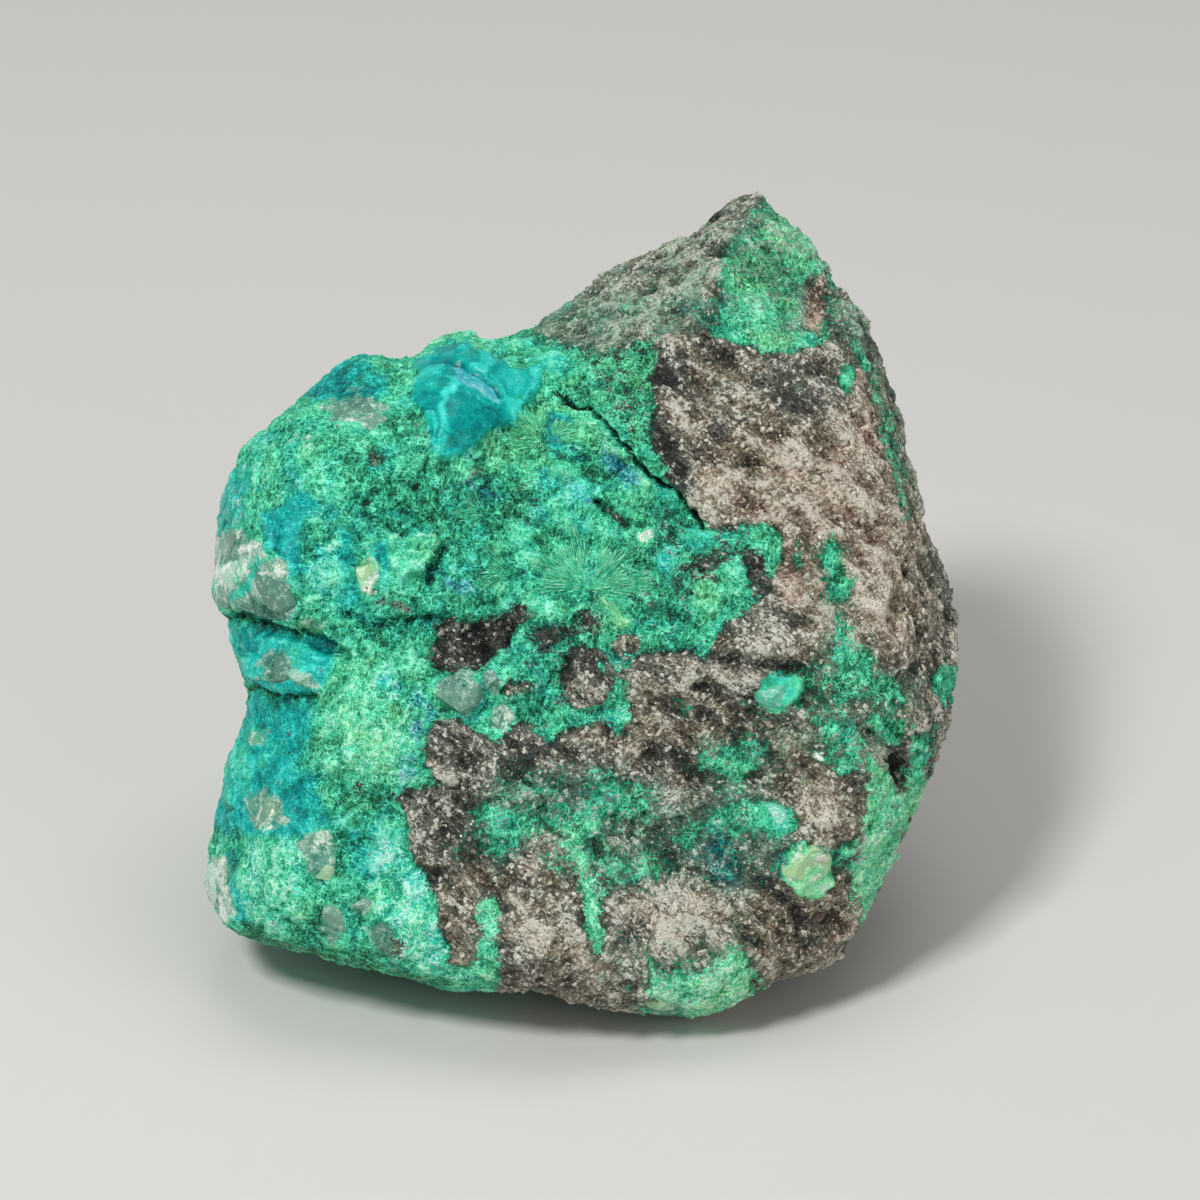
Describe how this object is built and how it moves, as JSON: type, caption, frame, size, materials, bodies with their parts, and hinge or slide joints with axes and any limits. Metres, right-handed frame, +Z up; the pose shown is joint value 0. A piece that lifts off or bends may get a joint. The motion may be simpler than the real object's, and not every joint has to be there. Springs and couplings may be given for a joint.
{
  "type": "chrysocolla specimen",
  "caption": "Hand specimen of copper ore: blue-green chrysocolla and malachite crusting dark, glittering host rock, one broken stone resting on a flat underside.",
  "frame": {"origin": "middle of the stone's bounding box, on the floor it rests on", "axes": "+Z up; -Y out of the display face, which leans back 28 degrees from upright; +X to the display face's right"},
  "size_m": [0.067, 0.061, 0.0584],
  "materials": {
    "stone": "rough, with glittering grains and silky fibres"
  },
  "bodies": {
    "root": {"chrysocolla_stone": "stone"}
  },
  "joints": []
}
